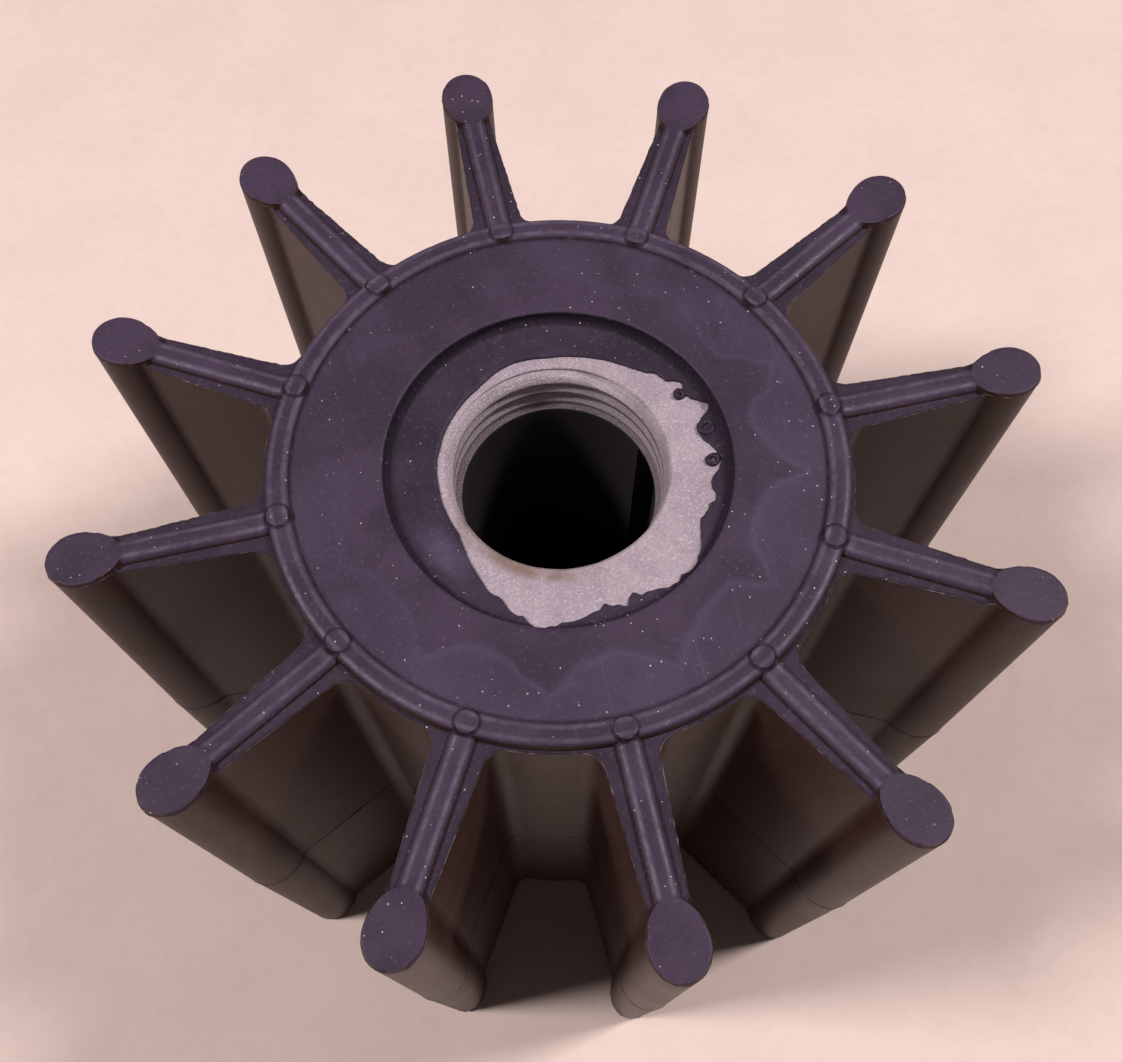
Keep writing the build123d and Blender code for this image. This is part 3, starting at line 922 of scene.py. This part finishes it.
def keyed_row(radius, height):
    """A ring with the keyway's square outline cut into it."""
    row = sleeve_row(radius, height)
    relative = (slice_angles - KEY_AZIMUTH + math.pi) % (2 * math.pi) - math.pi
    half = KEY_WIDTH / 2
    inner = math.sqrt(radius ** 2 - half ** 2)
    members = np.where(np.abs(relative) <= math.asin(half / radius) + math.pi / SLICES)[0]
    members = members[np.argsort(relative[members])]
    outer = BORE_RADIUS + KEY_DEPTH
    across = np.linspace(-half, half, len(members) - 4)
    slot = [(inner, -half), ((inner + outer) / 2, -half)] + [(outer, y) for y in across] + [
        ((inner + outer) / 2, half), (inner, half)]
    c, s = math.cos(KEY_AZIMUTH), math.sin(KEY_AZIMUTH)
    row[members, :2] = np.array(slot) @ np.array([[c, s], [-s, c]])
    return row


def thread_edge(height):
    """Radius of the thread's surface at a height, all the way round."""
    phase = ((height - LEDGE) / PITCH - slice_angles / (2 * math.pi) + 1) % 1
    return CREST_RADIUS + THREAD_DEPTH * np.clip((1 - np.abs(2 * phase - 1) - CREST_SHARE) / FLANK_SHARE, 0, 1)


countersink = COUNTERSINK_RADIUS + COUNTERSINK_OFFSET * np.cos(slice_angles - COUNTERSINK_AZIMUTH)
mouth = np.maximum(countersink, thread_edge(INSERT_TOP))
rows = [sleeve_row(mouth, INSERT_TOP), sleeve_row(13.5, INSERT_TOP), sleeve_row(INSERT_RADIUS, INSERT_TOP),
        sleeve_row(INSERT_RADIUS, INSERT_BOTTOM), keyed_row(BORE_RADIUS + BORE_CHAMFER, INSERT_BOTTOM),
        keyed_row(BORE_RADIUS, INSERT_BOTTOM + BORE_CHAMFER), keyed_row(BORE_RADIUS, LEDGE - KEY_LAND),
        sleeve_row(BORE_RADIUS, LEDGE - KEY_LAND), sleeve_row(BORE_RADIUS, LEDGE - 0.06),
        sleeve_row(BORE_RADIUS + 0.06, LEDGE), sleeve_row(thread_edge(LEDGE), LEDGE)]
turned_sleeve = mesh_from("turned_sleeve", np.vstack(rows), strips(len(rows), SLICES, closed=True))
sleeve_mesh = joined("hub_sleeve", [turned_sleeve, thread])
faced_outwards(sleeve_mesh)
sleeve_mesh.shade_smooth()
sleeve_mesh.set_sharp_from_angle(angle=math.radians(SLEEVE_CREASE))
print("triangles in the sleeve:", triangles_in(sleeve_mesh))

# %% [markdown]
# ## Burst bubbles at the film's edge
# Where the film tore, three bubbles in it burst and left small rings of rubber on the metal. Each is a
# closed loop of circles whose size and height wander, so no two sides are alike.

# %% Make the rings of rubber
BUBBLES = ((14.8, 1.2, 0.6, 0.33, 3), (14.45, -2.25, 0.45, 0.27, 5), (13.2, 5.3, 0.34, 0.28, 8))
ALONG_LOOP, ROUND_LOOP = 36, 10


def burst_bubble(centre_x, centre_y, loop_radius, thickness, seed):
    """A ring of rubber with a wandering width, at a place on the sleeve's end."""
    wander = np.random.default_rng(seed).uniform(-1, 1, (2, 7))
    turn = np.arange(ALONG_LOOP) * 2 * math.pi / ALONG_LOOP
    in_reach, in_size = [
        sum(row[k] * np.cos((k % 3 + 1) * turn + 2.1 * k) for k in range(7)) / 7 for row in wander]
    reach, size = loop_radius * (1 + 0.45 * in_reach), thickness * (1 + 0.8 * in_size)
    rows = []
    for step in np.arange(ROUND_LOOP + 1) * 2 * math.pi / ROUND_LOOP:
        out = reach + size * np.cos(step)
        rows.append(np.c_[centre_x + out * np.cos(turn), centre_y + out * np.sin(turn),
                          INSERT_TOP + size * (0.5 + 0.9 * np.sin(step))])
    return mesh_from("bubble", np.vstack(rows), strips(len(rows), ALONG_LOOP, closed=True))


bubbles_mesh = joined("film_bubbles", [burst_bubble(*sizes) for sizes in BUBBLES])
faced_outwards(bubbles_mesh)
print("triangles in the bubbles:", triangles_in(bubbles_mesh))

# %% [markdown]
# ## Flash along the edges
# Where the mould's plates meet, a little rubber squeezes out and is left as a ragged lip. It follows the
# edges, so a Geometry Nodes tree draws it: the edge becomes a curve, noise sets the lip's size along it,
# and a small three-sided profile is run along the curve.

# %% Build the tree of the flash
flash, size, result = node_tree("ragged_lip", {
    "Spacing": FLOAT, "Lip size": FLOAT, "Least size": FLOAT, "Grains per metre": FLOAT,
    "Patches per metre": FLOAT, "Seed": FLOAT, "Material": MATERIAL})
line = add(flash, "GeometryNodeMeshToCurve", {"Mesh": size["Geometry"]})
fine = add(flash, "GeometryNodeResampleCurve", {"Curve": line, "Length": size["Spacing"]}, mode="LENGTH")
grain = add(flash, NOISE, {"Scale": size["Grains per metre"], "W": size["Seed"], "Detail": 3.0},
            noise_dimensions="4D")
patch = add(flash, NOISE, {"Scale": size["Patches per metre"], "W": size["Seed"], "Detail": 1.0},
            noise_dimensions="4D")
over_patch = add(flash, MATH, [patch, 0.42], operation="SUBTRACT")
coarse = add(flash, MATH, [over_patch, 5.0], operation="MULTIPLY", use_clamp=True)
over_grain = add(flash, MATH, [grain, 0.42], operation="SUBTRACT")
ragged = add(flash, MATH, [over_grain, 4.0], operation="MULTIPLY", use_clamp=True)
in_patches = add(flash, MATH, [coarse, 0.8, 0.2], operation="MULTIPLY_ADD")
share_left = add(flash, MATH, [ragged, in_patches], operation="MULTIPLY")
lip = add(flash, MATH, [share_left, size["Lip size"], size["Least size"]], operation="MULTIPLY_ADD")
profile = add(flash, "GeometryNodeCurvePrimitiveCircle", {"Resolution": 3, "Radius": 1.0})
swept = add(flash, "GeometryNodeCurveToMesh", {"Curve": fine, "Profile Curve": profile, "Scale": lip})
solid = add(flash, "GeometryNodeRealizeInstances", [swept])
finished = add(flash, "GeometryNodeSetMaterial", {"Geometry": solid, "Material": size["Material"]})
feed(flash, result, [finished])
print("nodes in the flash's tree:", len(flash.nodes))

# %% Draw the edges that carry flash
EDGE_LIFT, PARTING_LIFT = 0.04, 0.03


def whole_outline(growth, heights):
    """The closed outline of all twelve vanes at a growth, with a height for each point of the half outline."""
    half = np.c_[half_outline(growth), heights]
    one = np.vstack([(half * (1, -1, 1))[::-1], half[1:]])[1:]
    loops = []
    for k in range(VANES):
        c, s = math.cos(2 * HALF_SECTOR * k), math.sin(2 * HALF_SECTOR * k)
        loops.append(np.c_[one[:, 0] * c - one[:, 1] * s, one[:, 0] * s + one[:, 1] * c, one[:, 2]])
    return np.vstack(loops)


def edge_mesh(name, *loops):
    """A mesh of edges alone, from closed loops of points in millimetres."""
    mesh = bpy.data.meshes.new(name)
    points, edges = [], []
    for loop in loops:
        edges += [(len(points) + i, len(points) + (i + 1) % len(loop)) for i in range(len(loop))]
        points += [tuple(p) for p in loop * MM]
    mesh.from_pydata(points, edges, [])
    return mesh


edge_heights = rim_height + EDGE_LIFT
face_edges = edge_mesh("face_edges", whole_outline(0.0, UPPER_FACE + edge_heights),
                       whole_outline(0.0, LOWER_FACE - edge_heights))
parting_growth = HALF_HEIGHT * DRAFT + PARTING_LIFT
parting_edge = edge_mesh("parting_edge", whole_outline(parting_growth, 0 * rim_height + PARTING))
print("edges that carry flash:", len(face_edges.edges), "and", len(parting_edge.edges))

# %% [markdown]
# ## Dust on the upper faces
# Specks are scattered over the upward faces by a Geometry Nodes tree with a fixed seed. Each is a flattened
# grain of a few hundredths to a quarter of a millimetre, and small ones are far more common.

# %% Build the tree of the dust
specks, size, result = node_tree("scattered_specks", {
    "Per square metre": FLOAT, "Grain radius": FLOAT, "Flatness": FLOAT, "Seed": WHOLE, "Material": MATERIAL})
upward = add(specks, SPLIT, [add(specks, "GeometryNodeInputNormal")]).outputs["Z"]
points = add(specks, "GeometryNodeDistributePointsOnFaces", {
    "Mesh": size["Geometry"], "Selection": add(specks, MATH, [upward, 0.6], operation="GREATER_THAN"),
    "Density": size["Per square metre"], "Seed": size["Seed"]})
ball = add(specks, "GeometryNodeMeshIcoSphere", {"Radius": size["Grain radius"], "Subdivisions": 1})
chance = add(specks, "FunctionNodeRandomValue", {2: 0.5, 3: 1.0, "Seed": size["Seed"]}, data_type="FLOAT")
wide = add(specks, MATH, [chance.outputs[1], 3.0], operation="POWER")
thin = add(specks, MATH, [wide, size["Flatness"]], operation="MULTIPLY")
spin = add(specks, "FunctionNodeRandomValue", {0: (0, 0, 0), 1: (6.28, 6.28, 6.28), "Seed": size["Seed"]},
           data_type="FLOAT_VECTOR")
scattered = add(specks, "GeometryNodeInstanceOnPoints", {
    "Points": points, "Instance": ball, "Rotation": spin, "Scale": add(specks, COMBINE, [wide, thin, thin])})
solid = add(specks, "GeometryNodeRealizeInstances", [scattered])
finished = add(specks, "GeometryNodeSetMaterial", {"Geometry": solid, "Material": size["Material"]})
feed(specks, result, [finished])
print("nodes in the dust's tree:", len(specks.nodes))

# %% [markdown]
# ## The finished pieces
# Each piece is shown with its material and tied to the frame: it rides on the frame's one body, and the CAD
# node that it replaces, where it replaces one, is hidden.

# %% Show the pieces and tie them to the frame
def shown(name, mesh, material):
    """Puts a mesh in the scene as an object with one material."""
    thing = bpy.data.objects.new(name, mesh)
    bpy.context.scene.collection.objects.link(thing)
    mesh.materials.clear()
    mesh.materials.append(material)
    return thing


moulding = shown("rubber_moulding", moulding_mesh, rubber)
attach(moulding, "root")
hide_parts("rubber_body")

sleeve = shown("hub_sleeve", sleeve_mesh, steel)
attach(sleeve, "root")
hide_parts("hub_insert")

lip_values = {"Spacing": 0.22 * MM, "Least size": 0.01 * MM, "Grains per metre": 1400.0,
              "Patches per metre": 180.0, "Material": lip_rubber}
face_lips = grown("face_flash", flash, face_edges, {**lip_values, "Lip size": 0.12 * MM, "Seed": 3.0})
parting_lip = grown("parting_flash", flash, parting_edge, {**lip_values, "Lip size": 0.09 * MM, "Seed": 8.0})
dust = grown("dust_specks", specks, moulding_mesh.copy(), {
    "Per square metre": 140000.0, "Grain radius": 0.12 * MM, "Flatness": 0.6, "Seed": 5, "Material": dust_grey})
extras = [shown("face_flash", face_lips, lip_rubber), shown("parting_flash", parting_lip, lip_rubber),
          shown("dust_specks", dust, dust_grey), shown("film_bubbles", bubbles_mesh, rubber)]
for extra in extras:
    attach(extra, "root")

for piece in (moulding, sleeve, *extras):
    work = bmesh.new()
    work.from_mesh(piece.data)
    gaps = sum(1 for edge in work.edges if len(edge.link_faces) != 2)
    work.free()
    print(piece.name, triangles_in(piece.data), "triangles,", gaps, "open edges")

# %% [markdown]
# ## The studio
# The impeller stands on a sheet of uncoated beige paper, whose pulp gives the eye a soft mottle of clouds
# and fibres and no shine. Two soft lamps stand at its left and right, as on a copy stand, so the shoulders
# of the ribs catch the light on both sides and the floor between the vanes stays dark. The paper sends warm
# light back on to the vanes' sides. The room is dim, but the camera and the sheen on steel and rubber see
# it as a pale backdrop.

# %% Lay the paper
# A paper fibre is about 0.03 mm wide, too fine to show, so the pattern is of clumps of fibres.
CLUMP_WIDTH, MOTTLE_WIDTH = 2.38, 18.2
SHEET_REACH = 2.5
paper, tree, shader, mm = new_material("uncoated_beige_paper")
fibre = add(tree, NOISE, {"Vector": mm, "Scale": 1 / CLUMP_WIDTH, "Detail": 3.0})
mottle = add(tree, NOISE, {"Vector": mm, "Scale": 1 / MOTTLE_WIDTH, "Detail": 3.0})
feed(tree, shader, {
    "Base Color": layered(tree, linear("#e6d1c7"), [
        (add(tree, RANGE, [mottle, 0.3, 0.7], **SOFT), 1.0, "#ead6cc"),
        (add(tree, RANGE, [fibre, 0.45, 0.75], **SOFT), 0.3, "#dcc7bc")]),
    "Roughness": 0.85,
    "Normal": add(tree, BUMP, {"Height": fibre, "Distance": 0.08 * MM, "Strength": 0.5})})
floor_mesh = bpy.data.meshes.new("paper_sheet")
corners = [(-SHEET_REACH, -SHEET_REACH, 0), (SHEET_REACH, -SHEET_REACH, 0),
           (SHEET_REACH, SHEET_REACH, 0), (-SHEET_REACH, SHEET_REACH, 0)]
floor_mesh.from_pydata(corners, [], [(0, 1, 2, 3)])
floor = shown("paper_sheet", floor_mesh, paper)
print("the paper reaches", SHEET_REACH, "m each way")

# %% Hang the lamps and dim the room
LAMP_SIZE, LAMP_COLOUR, AIM = 0.15, "#fff6f7", Vector((0, 0, 0.03))
ROOM_LIGHT, BACKDROP_LIGHT = 0.05, 0.7


def lamp(name, place, watts):
    """A round soft lamp that looks at the impeller."""
    light = bpy.data.lights.new(name, "AREA")
    light.shape = "DISK"
    light.size = LAMP_SIZE
    light.energy = watts
    light.color = linear(LAMP_COLOUR)[:3]
    stand = bpy.data.objects.new(name, light)
    stand.location = place
    stand.rotation_euler = (AIM - Vector(place)).to_track_quat("-Z", "Y").to_euler()
    bpy.context.scene.collection.objects.link(stand)


lamp("left_lamp", (-0.47, 0.02, 0.66), 4.45)
lamp("right_lamp", (0.47, 0.0, 0.66), 4.25)
world = bpy.data.worlds.new("room")
world.use_nodes = True
tree = world.node_tree
ray = add(tree, "ShaderNodeLightPath").outputs
seen = ray["Is Camera Ray"]
for kind in ("Is Glossy Ray", "Is Transmission Ray"):
    seen = add(tree, MATH, [seen, ray[kind]], operation="MAXIMUM")
strength = add(tree, MATH, [seen, BACKDROP_LIGHT, ROOM_LIGHT], operation="MULTIPLY_ADD")
feed(tree, tree.nodes["Background"], {"Color": linear("#ece0dc"), "Strength": strength})
bpy.context.scene.world = world
bpy.context.scene.view_settings.view_transform = "Standard"
print("studio ready")
